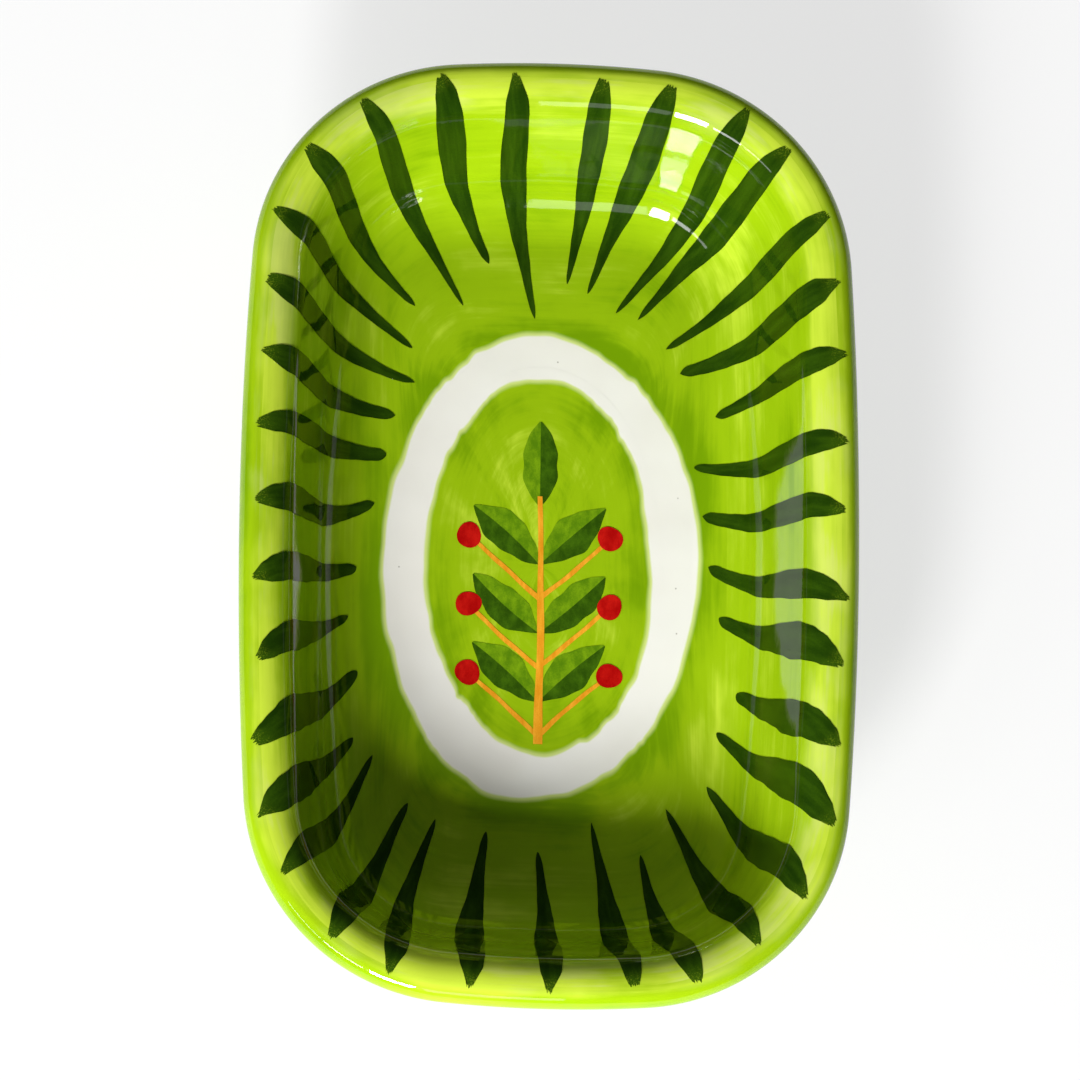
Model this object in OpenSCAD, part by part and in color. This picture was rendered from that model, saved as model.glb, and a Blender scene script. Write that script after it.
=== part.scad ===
// Oblong glazed dish for olives: a cast clay body, brushed colours and clear glaze coats.
// The dish stands on z = 0 with its length along Y and its middle at x = y = 0.

/* [Overall size] */
// Length over the glazed rim
dish_l = 172; // [150:1:210]
// Width over the glazed rim
dish_w = 110; // [100:1:130]
// Height from the table to the top of the glazed rim
dish_h = 36; // [32:1:42]
// Radius of the four corners of the rim, seen from above
corner_r = 42; // [38:1:48]

/* [Clay body] */
// Thickness of the clay wall
wall_t = 4.6; // [3.6:0.1:5.6]
// Lean of the wall away from upright, in degrees
wall_lean = 20; // [14:1:24]
// Radius of the hollow under the lip, where the wall rolls outward at the top
lip_hollow_r = 1.9; // [1.5:0.1:3]
// How far round the lip rolls, in degrees; at 90 its edge points straight out
lip_turn = 95; // [92:1:115]
// Thickness of the clay floor
floor_t = 4.6; // [3.6:0.1:6]
// Radius of the curve from the wall to the floor, inside
floor_r = 14; // [12:0.5:18]
// Radius of the curve from the wall to the base, outside
base_r = 19; // [16:0.5:22]
// Height of the foot ring
foot_h = 2.4; // [1.5:0.1:4]
// Width of the foot ring
foot_w = 4; // [3:0.5:6]
// Distance from the rim's outer edge in to the foot ring
foot_inset = 25; // [22:0.5:28]
// Bevel on both edges of the foot ring
foot_bevel = 0.6; // [0.2:0.1:1]

/* [Coats] */
// Thickness of a brushed colour
paint_t = 0.2; // [0.15:0.05:0.4]
// Thickness of a clear glaze coat
glaze_t = 0.4; // [0.3:0.05:0.8]
// Bare band of clay left between the coats and the foot ring
bare_band = 1.5; // [0.5:0.5:3]

/* [Border strokes] */
// Number of brush strokes around the wall
stroke_count = 35; // [24:1:40]
// Widest part of a stroke
stroke_w = 5; // [3:0.5:6]
// How far a stroke on a long side reaches from the rim's outer edge towards the middle
stroke_side_reach = 25; // [18:1:28]
// How far a stroke on an end reaches from the rim's outer edge towards the middle
stroke_end_reach = 36; // [24:1:38]
// How far past the middle of the dish, towards +Y, the strokes are aimed
stroke_aim = 16; // [8:1:20]
// Distance from the top of the lip to the start of a stroke, seen from above
stroke_gap = 0.8; // [0.4:0.1:1.5]
// Side step of a stroke's tail
stroke_sway = 1.2; // [0:0.1:2]

/* [Middle] */
// Length of the white oval band left in the wash
reserve_l = 86; // [76:1:92]
// Width of the white oval band left in the wash
reserve_w = 56; // [46:1:62]
// Width of the white band itself
reserve_band = 8; // [5:0.5:10]
// Clearance between the white band and the tails of the strokes
tail_clearance = 2; // [1:0.5:4]
// Number of pairs of leaves on the sprig
leaf_pairs = 3; // [1:1:3]
// Angle between a leaf and the stem, in degrees
leaf_spread = 48; // [46:1:56]

/* [Hidden] */
$fn = 96;
overrun = 1;

// Plan: straight sides joined by quarter circles
coat_t = paint_t + glaze_t;
half_w = dish_w / 2;
half_l = dish_l / 2;
corner_c = [half_w - corner_r, half_l - corner_r];
corner_run = corner_r * PI / 2;
quarter_run = corner_c.y + corner_run + corner_c.x;

// Wall section: first number inward from the rim's outer edge, second number up
edge_r = wall_t / 2;
lip_r = lip_hollow_r + wall_t;
edge_reach = lip_hollow_r + edge_r;
lip_c = [coat_t + edge_r - edge_reach * cos(lip_turn), dish_h - coat_t - lip_r];
edge_c = lip_c + edge_reach * [cos(lip_turn), sin(lip_turn)];
inward = [cos(wall_lean), sin(wall_lean)];
downward = [sin(wall_lean), -cos(wall_lean)];
floor_z = foot_h + floor_t;
inner_drop = (lip_c.y + (lip_r + floor_r) * inward.y - floor_z - floor_r) / -downward.y;
inner_c = lip_c + (lip_r + floor_r) * inward + inner_drop * downward;
outer_drop = (lip_c.y + (lip_hollow_r + base_r) * inward.y - foot_h - base_r) / -downward.y;
outer_c = lip_c + (lip_hollow_r + base_r) * inward + outer_drop * downward;
wall_turn = 180 + wall_lean;
foot_turn = 360 - acos((foot_inset - outer_c.x) / base_r);
bare_turn = 360 - acos((foot_inset - bare_band - outer_c.x) / base_r);
lip_steps = 7;
edge_steps = 12;
hollow_steps = 6;
curve_steps = 9;
grain = 0.001;

// Brush stroke: stations along it and its width at each, as shares of its length and width
station_shares = [0, 0.09, 0.27, 0.5, 0.76, 1];
width_shares = [0.3, 0.74, 1, 0.8, 0.46, 0.2];
reach_vary_share = 0.1;
width_vary_share = 0.14;
aim_shares = [0.15, 0.25];
golden_turn = 137.5;

// Sprig, sized from the room inside the white band
oval_steps = 48;
leaf_steps = 10;
oval_slim_share = 0.57;
sprig_r = min(reserve_l / 2 - reserve_band, (reserve_w / 2 - reserve_band) / oval_slim_share);
leaf_l_share = 0.46;
leaf_w_share = 0.19;
leaf_pitch_share = 0.36;
stem_rise_share = 0.37;
stem_l_share = 1.3;
stem_w_share = 0.046;
stem_tip_share = 0.5;
tip_overlap_share = 0.06;
stalk_l_share = 0.486;
stalk_w_share = 0.026;
stalk_place_share = 0.5;
berry_d_share = 0.13;
leaf_l = sprig_r * leaf_l_share;
leaf_w = sprig_r * leaf_w_share;
leaf_pitch = sprig_r * leaf_pitch_share;
stem_rise = sprig_r * stem_rise_share;
stem_l = sprig_r * stem_l_share;
stem_w = sprig_r * stem_w_share;
tip_overlap = sprig_r * tip_overlap_share;
stalk_l = sprig_r * stalk_l_share;
stalk_w = sprig_r * stalk_w_share;
berry_d = sprig_r * berry_d_share;

function heading(turn) = [cos(turn), sin(turn)];

// Moves a point to the nearest grain of the section, so that neighbouring solids meet exactly
function snap(p) = [round(p.x / grain) * grain, round(p.y / grain) * grain];

function arc(middle, r, from, to, steps) =
  [for (i = [0:steps]) snap(middle + r * heading(from + (to - from) * i / steps))];

function backwards(points) = [for (i = [len(points) - 1:-1:0]) points[i]];

function after_first(points) = [for (i = [1:len(points) - 1]) points[i]];

// Inside face of the clay, raised by a coat's thickness: lip, wall, then floor curve
function inside_line(lift) = concat(
  arc(lip_c, lip_r + lift, 90, wall_lean, lip_steps),
  arc(inner_c, floor_r - lift, wall_turn, 270, curve_steps)
);

// Outside face of the clay, raised by a coat's thickness: lip, its edge, hollow, wall, base curve
function outside_line(lift) = concat(
  [snap(lip_c + (lip_r + lift) * heading(90))],
  arc(edge_c, edge_r + lift, lip_turn, lip_turn + 180, edge_steps),
  after_first(arc(lip_c, lip_hollow_r - lift, lip_turn, wall_lean, hollow_steps)),
  arc(outer_c, base_r + lift, wall_turn, bare_turn, curve_steps)
);

// Line of a wall section on the left of the dish, and back up on its right
function across(line) = concat(
  [for (p = line) [p.x - half_w, p.y]],
  [for (p = backwards(line)) [half_w - p.x, p.y]]
);

// Sweeps a wall section round the corners and ends; the children run along the straight sides
module sweep(section) {
  for (mx = [0, 1], my = [0, 1])
    mirror([mx, 0, 0])
      mirror([0, my, 0])
        translate(corner_c)
          rotate_extrude(angle = 90)
            translate([corner_r, 0])
              mirror([1, 0])
                polygon(section);
  for (my = [0, 1])
    mirror([0, my, 0])
      translate([-corner_c.x, half_l, 0])
        rotate([90, 0, 90])
          linear_extrude(height = 2 * corner_c.x)
            mirror([1, 0])
              polygon(section);
  translate([0, corner_c.y, 0])
    rotate([90, 0, 0])
      linear_extrude(height = 2 * corner_c.y)
        children();
}

// Coat over the inside of the dish, between two heights above the clay
module inside_coat(low, high) {
  top = inside_line(high);
  under = inside_line(low);
  sweep(concat([[corner_r, floor_z + high]], backwards(top), under, [[corner_r, floor_z + low]]))
    polygon(concat(across(top), backwards(across(under))));
}

// Coat over the outside of the dish, between two heights above the clay
module outside_coat(low, high) {
  section = concat(backwards(outside_line(high)), outside_line(low));
  sweep(section) {
    polygon([for (p = section) [p.x - half_w, p.y]]);
    polygon([for (p = section) [half_w - p.x, p.y]]);
  }
}

// Upright prism of the outlines given, from below the floor to above the rim
module prism() {
  translate([0, 0, floor_z - overrun])
    linear_extrude(height = dish_h - floor_z + 2 * overrun)
      children();
}

// Brushed colour on the inside of the clay, within the outlines given
module inside_paint() {
  intersection() {
    inside_coat(0, paint_t);
    prism()
      children();
  }
}

// Point on the rim's outline and the way in from it, for a distance run round from +X
function rim_place(run) =
  let (quarter = floor(run / quarter_run))
  let (part = run - quarter * quarter_run)
  let (s = quarter % 2 == 0 ? part : quarter_run - part)
  let (turn = (s - corner_c.y) / corner_r * 180 / PI)
  let (signs = [quarter == 1 || quarter == 2 ? -1 : 1, quarter > 1 ? -1 : 1])
  let (at = s < corner_c.y ? [half_w, s]
    : s < corner_c.y + corner_run ? corner_c + corner_r * heading(turn)
    : [quarter_run - s, half_l])
  let (way = s < corner_c.y ? [-1, 0] : s < corner_c.y + corner_run ? -heading(turn) : [0, -1])
  [[at.x * signs.x, at.y * signs.y], [way.x * signs.x, way.y * signs.y]];

// Distance from a place on the rim, along a way in, to the clearance round the white band
function oval_reach(at, way) =
  let (a = reserve_w / 2 + tail_clearance, b = reserve_l / 2 + tail_clearance)
  let (p = [at.x / a, at.y / b], v = [way.x / a, way.y / b])
  let (room = pow(p * v, 2) - (v * v) * (p * p - 1))
  room > 0 ? (-(p * v) - sqrt(room)) / (v * v) : half_l;

// Outline of one tapering brush stroke, seen from above
function stroke_points(i) =
  let (place = rim_place((i + 0.5) / stroke_count * 4 * quarter_run))
  let (at = place[0], aim = [at.x * aim_shares.x, at.y * aim_shares.y + stroke_aim] - at)
  let (way = aim / norm(aim), across = [-way.y, way.x])
  let (end_share = pow(abs(at.y) / half_l, 3))
  let (vary = sin(i * golden_turn), twist = cos(i * golden_turn))
  let (full_reach = stroke_side_reach + (stroke_end_reach - stroke_side_reach) * end_share)
  let (reach = min(full_reach * (1 + reach_vary_share * vary), oval_reach(at, way)))
  let (start = (lip_c.x + stroke_gap) / (way * place[1]))
  let (half = stroke_w / 2 * (1 + width_vary_share * twist))
  let (middles = [for (t = station_shares)
    at + way * (start + (reach - start) * t) + across * stroke_sway * twist * t * t])
  concat(
    [for (k = [0:len(middles) - 1]) middles[k] + across * half * width_shares[k]],
    [for (k = [len(middles) - 1:-1:0]) middles[k] - across * half * width_shares[k]]
  );

module stroke_outlines() {
  for (i = [0:stroke_count - 1])
    polygon(stroke_points(i));
}

// Oval about the middle of the floor, drawn in by a margin all round
module oval_outline(margin) {
  polygon([for (i = [0:oval_steps - 1])
    let (way = heading(360 * i / oval_steps))
    [(reserve_w / 2 - margin) * way.x, (reserve_l / 2 - margin) * way.y]]);
}

// One half of a leaf that grows along +Y, on its right or left hand
module half_leaf(hand) {
  polygon([for (i = [0:leaf_steps])
    let (t = i / leaf_steps)
    [hand * leaf_w * 2 * t * (1 - t), leaf_l * t]]);
}

// The leaves' upper or lower halves: one leaf at the tip, and pairs down the stem
module leaf_outlines(hand) {
  translate([0, stem_rise - tip_overlap])
    half_leaf(hand);
  for (pair = [1:leaf_pairs], side = [-1, 1])
    translate([0, stem_rise - pair * leaf_pitch])
      rotate(-side * leaf_spread)
        half_leaf(side * hand);
}

// Places the children where a stalk leaves the stem, below each pair of leaves on both sides
module at_stalks() {
  for (pair = [1:leaf_pairs], side = [-1, 1])
    translate([0, stem_rise - (pair + stalk_place_share) * leaf_pitch])
      rotate(-side * leaf_spread)
        children();
}

module berry_outlines() {
  at_stalks()
    translate([0, stalk_l])
      circle(d = berry_d);
}

module stem_outlines() {
  half = stem_w / 2;
  polygon([
    [-half, stem_rise - stem_l], [half, stem_rise - stem_l],
    [half * stem_tip_share, stem_rise], [-half * stem_tip_share, stem_rise]
  ]);
  at_stalks()
    translate([-stalk_w / 2, 0])
      square([stalk_w, stalk_l]);
}

module sprig_outlines() {
  leaf_outlines(-1);
  leaf_outlines(1);
  stem_outlines();
  berry_outlines();
}

module clay_body() {
  foot_end = foot_inset + foot_w;
  top = inside_line(0);
  under = concat(
    after_first(outside_line(0)),
    [snap(outer_c + base_r * heading(foot_turn))],
    [[foot_inset, foot_bevel], [foot_inset + foot_bevel, 0], [foot_end - foot_bevel, 0]],
    [[foot_end, foot_bevel], [foot_end, foot_h]]
  );
  color([0.93, 0.91, 0.86])
    sweep(concat([[corner_r, floor_z]], backwards(top), under, [[corner_r, foot_h]]))
      polygon(concat(across(top), backwards(across(under))));
}

module ground_wash() {
  color([0.6, 0.75, 0.1])
    difference() {
      inside_coat(0, paint_t);
      prism() {
        stroke_outlines();
        oval_outline(0);
      }
    }
}

module oval_wash() {
  color([0.55, 0.72, 0.05])
    inside_paint()
      difference() {
        oval_outline(reserve_band);
        sprig_outlines();
      }
}

module border_strokes() {
  color([0.12, 0.24, 0.02])
    inside_paint()
      stroke_outlines();
}

module leaf_paint() {
  color([0.36, 0.52, 0.03])
    inside_paint()
      difference() {
        leaf_outlines(-1);
        stem_outlines();
        berry_outlines();
      }
}

module leaf_shade_paint() {
  color([0.22, 0.38, 0.02])
    inside_paint()
      difference() {
        leaf_outlines(1);
        stem_outlines();
        berry_outlines();
      }
}

module berry_paint() {
  color([0.75, 0.05, 0.03])
    inside_paint()
      berry_outlines();
}

module stem_paint() {
  color([0.95, 0.62, 0.08])
    inside_paint()
      difference() {
        stem_outlines();
        berry_outlines();
      }
}

module inside_glaze() {
  color([0.85, 0.9, 0.75, 0.4]) {
    inside_coat(paint_t, coat_t);
    inside_paint()
      difference() {
        oval_outline(0);
        oval_outline(reserve_band);
        sprig_outlines();
      }
  }
}

module outside_wash() {
  color([0.6, 0.75, 0.1])
    outside_coat(0, paint_t);
}

module outside_glaze() {
  color([0.85, 0.9, 0.75, 0.4])
    outside_coat(paint_t, coat_t);
}

module base_glaze() {
  edge = foot_inset + foot_w + bare_band;
  low = foot_h - glaze_t;
  color([0.9, 0.9, 0.85, 0.4])
    sweep([[edge, low], [edge, foot_h], [corner_r, foot_h], [corner_r, low]])
      polygon(concat(across([[edge, foot_h]]), backwards(across([[edge, low]]))));
}

clay_body();
ground_wash();
oval_wash();
border_strokes();
leaf_paint();
leaf_shade_paint();
berry_paint();
stem_paint();
inside_glaze();
outside_wash();
outside_glaze();
base_glaze();
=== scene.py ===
# %% [markdown]
# # A small oblong olive dish
# The dish is one cast clay body. Colour is brushed on it, and a clear glaze makes it shine.
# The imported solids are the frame: every piece made here stands for one of them and stays in its place.

# %% Load the frame
import math

import bpy
import numpy as np
from mathutils import Matrix, Vector


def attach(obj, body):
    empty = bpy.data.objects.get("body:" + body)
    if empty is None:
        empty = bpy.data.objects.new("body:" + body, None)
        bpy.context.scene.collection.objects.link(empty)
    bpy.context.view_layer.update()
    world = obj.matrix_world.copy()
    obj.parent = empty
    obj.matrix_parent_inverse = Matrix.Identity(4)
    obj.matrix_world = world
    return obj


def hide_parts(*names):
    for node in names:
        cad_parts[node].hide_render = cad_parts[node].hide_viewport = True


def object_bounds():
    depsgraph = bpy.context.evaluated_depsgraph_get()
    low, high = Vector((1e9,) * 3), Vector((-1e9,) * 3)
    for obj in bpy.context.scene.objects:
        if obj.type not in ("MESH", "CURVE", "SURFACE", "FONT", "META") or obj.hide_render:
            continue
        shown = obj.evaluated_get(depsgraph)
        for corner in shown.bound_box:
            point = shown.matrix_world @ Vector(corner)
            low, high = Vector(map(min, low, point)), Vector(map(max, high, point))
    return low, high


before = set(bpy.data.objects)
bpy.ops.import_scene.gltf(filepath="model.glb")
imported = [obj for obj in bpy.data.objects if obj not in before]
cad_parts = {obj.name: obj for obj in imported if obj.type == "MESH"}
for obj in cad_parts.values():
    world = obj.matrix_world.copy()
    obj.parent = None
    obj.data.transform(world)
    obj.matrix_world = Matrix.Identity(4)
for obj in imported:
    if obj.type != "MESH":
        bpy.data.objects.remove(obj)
cad_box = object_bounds()
print("CAD box in metres:", [[round(c, 4) for c in corner] for corner in cad_box])

# %% [markdown]
# ## The plan of the rim
# Seen from above, a cast dish has no truly straight side: each side is a very flat arc, and small
# arcs round the corners. One could draw a curve by hand and bevel it. Here the eight arcs are worked
# out instead, because the same formula then also tells how far any point lies in from the rim.

# %% Arcs of the rim
MM = 0.001
HALF_W = (cad_box[1].x - cad_box[0].x) / 2
HALF_L = (cad_box[1].y - cad_box[0].y) / 2
CORNER_R = 38.5 * MM
SIDE_BOW_R = 760 * MM
END_BOW_R = 230 * MM
side_c = np.array([HALF_W - SIDE_BOW_R, 0.0])
end_c = np.array([0.0, HALF_L - END_BOW_R])


def heading(turn):
    """Directions in a plane, for turns from its first axis to its second."""
    return np.stack([np.cos(turn), np.sin(turn)], -1)


def meeting_point(a, a_reach, b, b_reach):
    """The point at these distances from a and b; of the two, the one nearer the corner of +X and +Y."""
    way = a - b
    gap = np.linalg.norm(way)
    along = (b_reach**2 - a_reach**2 + gap**2) / (2 * gap)
    off = math.sqrt(b_reach**2 - along**2)
    square = np.array([-way[1], way[0]]) / gap
    points = [b + way / gap * along + side * off * square for side in (1, -1)]
    return max(points, key=lambda p: p[0] + p[1])


corner_c = meeting_point(side_c, SIDE_BOW_R - CORNER_R, end_c, END_BOW_R - CORNER_R)
side_turn = math.atan2(*(corner_c - side_c)[::-1])
end_turn = math.atan2(*(corner_c - end_c)[::-1])
arc_middles = np.array([side_c, corner_c, end_c])
arc_radii = np.array([SIDE_BOW_R, CORNER_R, END_BOW_R])
arc_turns = [0.0, side_turn, end_turn, math.pi / 2]
arc_runs = np.concatenate([[0.0], np.cumsum(arc_radii * np.diff(arc_turns))])
QUARTER = arc_runs[-1]
print("rim runs", round(4 * QUARTER / MM), "mm round; corner middle", (corner_c / MM).round(2))

# %% Points on the plan
TINY = 1e-9


def plan(share):
    """Points on the rim and their outward directions, for shares of the way round from +X."""
    run = np.mod(share, 1.0) * 4 * QUARTER
    quarter = np.minimum(run // QUARTER, 3).astype(int)
    part = run - quarter * QUARTER
    part = np.where(quarter % 2 == 0, part, QUARTER - part)
    turn = np.interp(part, arc_runs, arc_turns)
    kind = (turn > side_turn).astype(int) + (turn > end_turn)
    out = heading(turn)
    at = arc_middles[kind] + arc_radii[kind][..., None] * out
    signs = np.array([[1, 1], [-1, 1], [-1, -1], [1, -1]])[quarter]
    return at * signs, out * signs


def inset_of(spots):
    """How far points of the plan lie in from the rim, and the outward direction there."""
    signs = np.where(spots < 0, -1.0, 1.0)
    p = np.abs(spots)
    about_side = np.arctan2(p[..., 1] - side_c[1], p[..., 0] - side_c[0])
    about_end = np.arctan2(p[..., 1] - end_c[1], p[..., 0] - end_c[0])
    kind = np.where(about_side < side_turn, 0, np.where(about_end > end_turn, 2, 1))
    away = p - arc_middles[kind]
    reach = np.linalg.norm(away, axis=-1)
    out = away / np.maximum(reach, TINY)[..., None]
    return arc_radii[kind] - reach, out * signs


print("the middle lies", (inset_of(np.zeros(2))[0] / MM).round(2), "mm in from the rim")

# %% [markdown]
# ## The section of the wall
# The wall leans out, rolls over into a soft lip and runs into the floor in a wide curve. Each part of
# it is an arc or a straight line, so its slope is known exactly and the gloss runs over it unbroken.
# The numbers are those of the solids.

# %% Section of the wall
COAT = 0.6 * MM
WALL = 4.6 * MM
LIP_HOLLOW_R = 1.9 * MM
LIP_TURN = math.radians(95)
WALL_LEAN = math.radians(20)
FLOOR_R = 14 * MM
BASE_R = 19 * MM
FOOT_H = 2.4 * MM
FLOOR_T = 4.6 * MM
FLOOR_Z = FOOT_H + FLOOR_T
RIM_Z = cad_box[1].z

edge_r = WALL / 2
lip_r = LIP_HOLLOW_R + WALL
lip_mid_r = LIP_HOLLOW_R + edge_r
lip_c = np.array([COAT + edge_r - lip_mid_r * math.cos(LIP_TURN), RIM_Z - COAT - lip_r])
edge_c = lip_c + lip_mid_r * heading(LIP_TURN)
inward = heading(WALL_LEAN)
downward = np.array([inward[1], -inward[0]])


def curve_middle(lip_offset, radius, level):
    """The middle of the curve at the foot of a wall face that is lip_offset from the lip's middle."""
    start = lip_c + (lip_offset + radius) * inward
    return start + (start[1] - level - radius) / -downward[1] * downward


inner_c = curve_middle(lip_r, FLOOR_R, FLOOR_Z)
outer_c = curve_middle(LIP_HOLLOW_R, BASE_R, FOOT_H)
EDGE_END = lip_c[0] + lip_r * math.cos(LIP_TURN)
LIP_END = lip_c[0] + lip_r * inward[0]
CURVE_START = inner_c[0] - FLOOR_R * inward[0]
print("lip ends", (LIP_END / MM).round(2), "curve starts", (CURVE_START / MM).round(2),
      "flat floor starts", (inner_c[0] / MM).round(2), "mm in from the rim")

# %% Inside face of the clay
def inside_face(inset):
    """Height of the clay's inside face and its normal (inward, up), at distances in from the rim."""
    edge_u = np.clip((inset - edge_c[0]) / edge_r, -1, 1)
    edge = np.sqrt(1 - edge_u**2)
    lip_u = np.clip((inset - lip_c[0]) / lip_r, -1, 1)
    lip = np.sqrt(1 - lip_u**2)
    curve_u = np.clip((inner_c[0] - inset) / FLOOR_R, 0, 1)
    curve = np.sqrt(1 - curve_u**2)
    parts = [inset < EDGE_END, inset < LIP_END, inset < CURVE_START, inset < inner_c[0]]
    wall_z = lip_c[1] + lip_r * inward[1] + (inset - LIP_END) / downward[0] * downward[1]
    heights = [edge_c[1] + edge_r * edge, lip_c[1] + lip_r * lip, wall_z, inner_c[1] - FLOOR_R * curve]
    z = np.select(parts, heights, FLOOR_Z)
    slope_u = np.select(parts, [edge_u, lip_u, np.full_like(inset, inward[0]), curve_u], 0.0)
    slope_z = np.select(parts, [edge, lip, np.full_like(inset, inward[1]), curve], 1.0)
    return z, slope_u, slope_z


curve_z = inside_face(np.array([CURVE_START]))[0][0]
print("the wall meets the curve of the floor", (curve_z / MM).round(2), "mm up")

# %% [markdown]
# ## A hand-made form
# No two cast dishes are alike: they sag a little as they dry. One soft movement is given to every
# piece alike, so all layers stay together. It only draws points in, and never out of the box.

# %% Hand-made movement
SAG_PLAN = 0.0032
SAG_ENDS_SHARE = 0.6
SAG_RIM = 0.009


def by_hand(points):
    """Points moved as a drying dish sags, in slow waves whose phases are free choices."""
    x, y, z = points[..., 0], points[..., 1], points[..., 2]
    turn = np.arctan2(y, x)
    draw_x = 1 - SAG_PLAN * (0.5 + 0.5 * np.sin(2 * turn + 0.7) * np.cos(y / HALF_L * 2.1))
    draw_y = 1 - SAG_PLAN * (0.5 + 0.5 * np.cos(3 * turn + 0.4)) * SAG_ENDS_SHARE
    drop = SAG_RIM * (z / RIM_Z) * (0.5 + 0.5 * np.cos(2 * turn - 0.5 + 0.6 * np.sin(turn)))
    return np.stack([x * draw_x, y * draw_y, z * (1 - drop)], -1)


def lay(spots, lift):
    """Points of the plan laid on the inside face, raised along its normal, with the normals."""
    inset, out = inset_of(spots)
    z, slope_u, slope_z = inside_face(inset)
    normals = np.concatenate([-out * slope_u[..., None], slope_z[..., None]], -1)
    points = np.concatenate([spots, z[..., None]], -1) + np.asarray(lift)[..., None] * normals
    return by_hand(points), normals


print("the rim sags by up to", round(SAG_RIM * RIM_Z / MM, 2), "mm")

# %% [markdown]
# ## Thin closed shells
# A coat of colour or glaze is a thin layer with two faces and an edge. Blender's Solidify could give
# an open sheet a thickness. Here both faces are made directly from a grid of points, because each
# point then keeps its exact normal and a mark of where the brush passed, which the finishes read.

# %% Shell of a grid
def grid_index(rows, cols, wrap):
    """The numbers of a grid's points; wrap repeats the first column after the last one."""
    index = np.arange(rows * cols).reshape(rows, cols)
    return np.concatenate([index, index[:, :1]], 1) if wrap else index


def grid_quads(index):
    """The corners of each cell of a grid."""
    return np.stack([index[:-1, :-1], index[:-1, 1:], index[1:, 1:], index[1:, :-1]], -1).reshape(-1, 4)


def shell(top, under, normals, brush, edge, wrap, fill=False):
    """A closed mesh from a grid of points above and below; wrap joins its columns, fill its last row."""
    rows, cols = top.shape[:2]
    index = grid_index(rows, cols, wrap)
    upper = grid_quads(index)
    row, col = rows // 2, cols // 2
    side = np.cross(top[row, col] - top[row - 1, col - 1], top[row, col - 1] - top[row - 1, col])
    facing = np.dot(side, normals[row, col])
    if not wrap:
        borders = [np.concatenate([index[0], index[1:, -1], index[-1, -2::-1], index[-2::-1, 0]])]
    elif fill:
        borders = [index[0]]
    else:
        borders = [index[0], index[-1][::-1]]
    shift = rows * cols
    rims = [np.stack([b[:-1] + shift, b[1:] + shift, b[1:], b[:-1]], -1) for b in borders]
    faces = np.concatenate([upper, upper[:, ::-1] + shift, *rims]).tolist()
    if fill:
        last = index[-1, :-1]
        faces += [last.tolist(), (last[::-1] + shift).tolist()]
    if facing < 0:
        faces = [face[::-1] for face in faces]
    points = np.concatenate([top.reshape(-1, 3), under.reshape(-1, 3)])
    both_normals = np.concatenate([normals.reshape(-1, 3), -normals.reshape(-1, 3)])
    return points, faces, both_normals, np.tile(brush.reshape(-1, 3), (2, 1)), np.tile(edge.reshape(-1), 2)


# %% Piece of one or more shells
def stand_in(name, mesh, node):
    """An object with this mesh; it stands for a solid of the frame and rides on its body."""
    obj = bpy.data.objects.new(name, mesh)
    bpy.context.scene.collection.objects.link(obj)
    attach(obj, "root")
    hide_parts(node)
    print(name, "has", len(mesh.vertices), "points")
    return obj


def piece(name, shells, node):
    """One object from one or more shells; its points keep the brush's marks in millimetres."""
    starts = np.cumsum([0] + [len(made[0]) for made in shells]).tolist()
    faces = [[v + start for v in face] for made, start in zip(shells, starts) for face in made[1]]
    points, normals, brush, edge = (np.concatenate([made[k] for made in shells]) for k in (0, 2, 3, 4))
    mesh = bpy.data.meshes.new(name)
    mesh.from_pydata(points.tolist(), [], faces)
    mesh.polygons.foreach_set("use_smooth", [True] * len(mesh.polygons))
    mesh.attributes.new("brush", "FLOAT_VECTOR", "POINT").data.foreach_set(
        "vector", (brush / MM).astype(np.float32).ravel())
    mesh.attributes.new("edge", "FLOAT", "POINT").data.foreach_set(
        "value", (edge / MM).astype(np.float32))
    mesh.normals_split_custom_set_from_vertices(normals.tolist())
    mesh.validate()
    return stand_in(name, mesh, node)


# %% [markdown]
# ## The white glazed inside
# Where no colour was brushed, the clear glaze lies straight on the white clay. This coat covers the
# whole inside, and the colours lie on it. It is a set of rings: down the wall at chosen distances in
# from the rim, and then smaller and smaller over the floor.

# %% Rings of the inside
COLUMNS = 420
CREST_TURN = math.radians(92)
LIP_ROWS, WALL_ROWS, CURVE_ROWS = 20, 10, 18
WALL_END = 21 * MM
shares = np.arange(COLUMNS) / COLUMNS
rim_at, rim_out = plan(shares)
round_r = 4 * QUARTER / (2 * math.pi)
round_trip = round_r * heading(2 * math.pi * shares)

lip_insets = lip_c[0] + lip_r * np.cos(np.linspace(CREST_TURN, WALL_LEAN, LIP_ROWS))
wall_insets = np.linspace(LIP_END, CURVE_START, WALL_ROWS)[1:-1]
curve_insets = inner_c[0] - FLOOR_R * np.cos(np.linspace(WALL_LEAN, math.pi / 2, CURVE_ROWS))
insets = np.concatenate([lip_insets, wall_insets, curve_insets])
wash_insets = np.append(insets[insets < WALL_END], WALL_END)
drops = np.diff(inside_face(wash_insets)[0])
inset_runs = np.concatenate([[0], np.cumsum(np.hypot(np.diff(wash_insets), drops))])
wall_spots = rim_at - wash_insets[:, None, None] * rim_out
wall_runs = np.broadcast_to(inset_runs[:, None], wall_spots.shape[:2])
print("the wall runs", (inset_runs[-1] / MM).round(1), "mm from the crest into the curve of the floor")

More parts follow.
